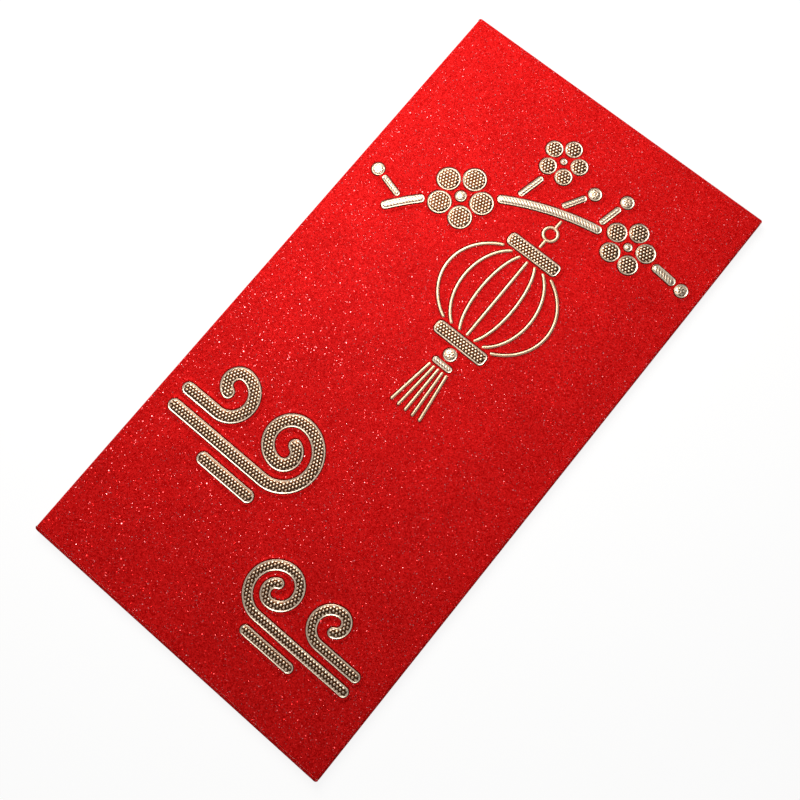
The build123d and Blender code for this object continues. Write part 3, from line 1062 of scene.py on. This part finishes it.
flap_low, flap_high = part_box("closure_flap")
flap_half, flap_depth = flap_high[0], flap_high[1] - flap_low[1]
lean = math.atan2(flap_taper, flap_depth)
corner_y = flap_low[1] + flap_corner
corner_x = flap_half - (flap_high[1] - corner_y) * math.tan(lean) - flap_corner / math.cos(lean)
corner_turn = np.linspace(-lean, -np.pi / 2, flap_corner_rows)
straight_foot = corner_y - flap_corner * math.sin(lean)
straight_y = np.linspace(flap_high[1] - crease_gap, straight_foot, flap_straight_rows)
straight_half = flap_half - (flap_high[1] - straight_y) * math.tan(lean)
flap_y = np.concatenate([straight_y, corner_y + flap_corner * np.sin(corner_turn)[1:]])
flap_reach = np.concatenate([straight_half, corner_x + flap_corner * np.cos(corner_turn)[1:]])
flap_x = flap_reach[:, None] * np.linspace(-1, 1, flap_columns)
flap_plan = np.stack([flap_x, flap_y[:, None] + 0 * flap_x], axis=2)
flap_card = card_plate("flap_card", flap_plan, flap_low[2], flap_high[2])
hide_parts("closure_flap")
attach(flap_card, "flap")

bend_low, bend_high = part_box("flap_fold")
bend_outer = (bend_high[2] - bend_low[2]) / 2
flap_bend = fold_solid(
    "flap_fold_card", (0, bend_low[1], bend_outer), (0, 1, 0), (1, 0, 0),
    end_length, fold_corner, bend_outer, end_crease,
)
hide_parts("flap_fold")
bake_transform(flap_bend)

# Floor, light and camera
# A matt pale floor, which whitens to the camera with distance and keeps the shadow. A soft key lamp
# hangs left of the flap end, and a weak panel high over the foot. The room's ceiling is dim.

floor_half = 3.0
floor_drop = 0.02 * mm
floor_tone = (0.86, 0.86, 0.86, 1)
floor_glow = 1.12
floor_near, floor_far = 0.15, 0.60
floor_whiteness = 0.8, 1.0
room_light = 0.03
wall_top, ceiling_start = 0.30, 0.75
wall_tone, ceiling_tone = 1.0, 0.15

floor_corners = floor_half * np.array([(-1, -1, 0), (1, -1, 0), (1, 1, 0), (-1, 1, 0)])
floor_corners[:, 2] = -floor_drop
floor_mesh = bpy.data.meshes.new("floor")
floor_mesh.from_pydata(floor_corners, [], [(0, 1, 2, 3)])
floor = bpy.data.objects.new("floor", floor_mesh)
bpy.context.scene.collection.objects.link(floor)


def seen_share(tree, unseen, seen):
    """One number for light that a camera, a mirror or a clear body looks at, and another for the
    rest."""
    rays = add_node(tree, "ShaderNodeLightPath").outputs
    look = number(tree, "MAXIMUM", rays["Is Camera Ray"], rays["Is Glossy Ray"])
    look = number(tree, "MAXIMUM", look, rays["Is Transmission Ray"])
    return ramped(tree, look, 0.0, 1.0, unseen, seen)


pale_floor, tree, shader, place = start_finish("pale_floor")
tree.nodes.remove(shader)
distance = add_node(tree, "ShaderNodeVectorMath", {0: place}, operation="LENGTH").outputs["Value"]
whitened = ramped(tree, distance, floor_near, floor_far, *floor_whiteness)
matt = add_node(tree, "ShaderNodeBsdfDiffuse", {"Color": floor_tone})
glow = add_node(tree, "ShaderNodeEmission", {"Color": (1, 1, 1, 1), "Strength": floor_glow})
surfaces = {1: matt.outputs["BSDF"], 2: glow.outputs["Emission"]}
both = add_node(tree, "ShaderNodeMixShader", {0: seen_share(tree, 0.0, whitened), **surfaces})
fill(tree, tree.nodes["Material Output"], {"Surface": both.outputs["Shader"]})
floor_mesh.materials.append(pale_floor)

world = bpy.data.worlds.new("studio")
world.use_nodes = True
tree = world.node_tree
looking = add_node(tree, "ShaderNodeTexCoord").outputs["Generated"]
height = add_node(tree, "ShaderNodeSeparateXYZ", {"Vector": looking}).outputs["Z"]
room = ramped(tree, height, wall_top, ceiling_start, wall_tone, ceiling_tone)
camera_ray = add_node(tree, "ShaderNodeLightPath").outputs["Is Camera Ray"]
backdrop = number(tree, "MAXIMUM", room, camera_ray)
fill(tree, tree.nodes["Background"], {
    "Color": (1, 1, 1, 1),
    "Strength": seen_share(tree, room_light, backdrop),
})
bpy.context.scene.world = world


def area_lamp(name, place, target, size, power, colour):
    """Square area lamp at a place that faces a target."""
    lamp = bpy.data.lights.new(name, "AREA")
    lamp.size, lamp.energy, lamp.color = size, power, colour
    holder = bpy.data.objects.new(name, lamp)
    holder.location = place
    facing = Vector(target) - Vector(place)
    holder.rotation_euler = facing.to_track_quat("-Z", "Y").to_euler()
    bpy.context.scene.collection.objects.link(holder)


area_lamp(
    "key_lamp", place=(-0.11, 0.09, 0.18), target=(-0.03, 0.04, 0),
    size=0.16, power=0.525, colour=(1.0, 0.97, 0.93),
)
area_lamp(
    "top_panel", place=(-0.09, -0.11, 0.62), target=(0, -0.04, 0),
    size=0.36, power=0.34, colour=(0.94, 0.97, 1.0),
)

camera_place = Vector((27.25 * mm, -25.0 * mm, front_top + 185.6 * mm))
camera_target = Vector((3.5 * mm, -6.0 * mm, front_top))
picture_turn = math.radians(39.55)
lens_widths = 0.9857
ahead = (camera_target - camera_place).normalized()
right = ahead.cross(Vector((-math.sin(picture_turn), math.cos(picture_turn), 0))).normalized()
above = right.cross(ahead)
turned = Matrix((right, above, -ahead)).transposed().to_4x4()
camera = bpy.data.objects.new("camera", bpy.data.cameras.new("camera"))
camera.matrix_world = Matrix.Translation(camera_place) @ turned
camera.data.lens = lens_widths * camera.data.sensor_width
camera.data.clip_start = 0.01
bpy.context.scene.collection.objects.link(camera)
bpy.context.scene.camera = camera
bpy.context.scene.view_settings.view_transform = "Standard"
